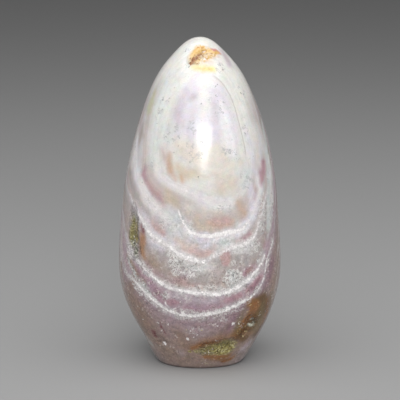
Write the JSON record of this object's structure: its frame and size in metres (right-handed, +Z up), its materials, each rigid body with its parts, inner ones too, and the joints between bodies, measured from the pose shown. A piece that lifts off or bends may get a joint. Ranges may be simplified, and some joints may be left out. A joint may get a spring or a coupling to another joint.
{
  "type": "ocean jasper freeform stone",
  "caption": "Polished egg-shaped freeform of banded ocean jasper with a blunt narrower top, standing on a flat cut base.",
  "frame": {"origin": "centre of the flat cut base, on the surface that the stone stands on", "axes": "+Z up from the base to the tip, +X to the right of the front, and the front, which shows the nested bands, faces -Y"},
  "size_m": [0.0746, 0.0658, 0.15],
  "materials": {
    "jasper": "polished banded jasper, cream white, mauve and peach, with ochre and olive crystal-lined patches"
  },
  "bodies": {
    "root": {"stone": "jasper"}
  },
  "joints": []
}
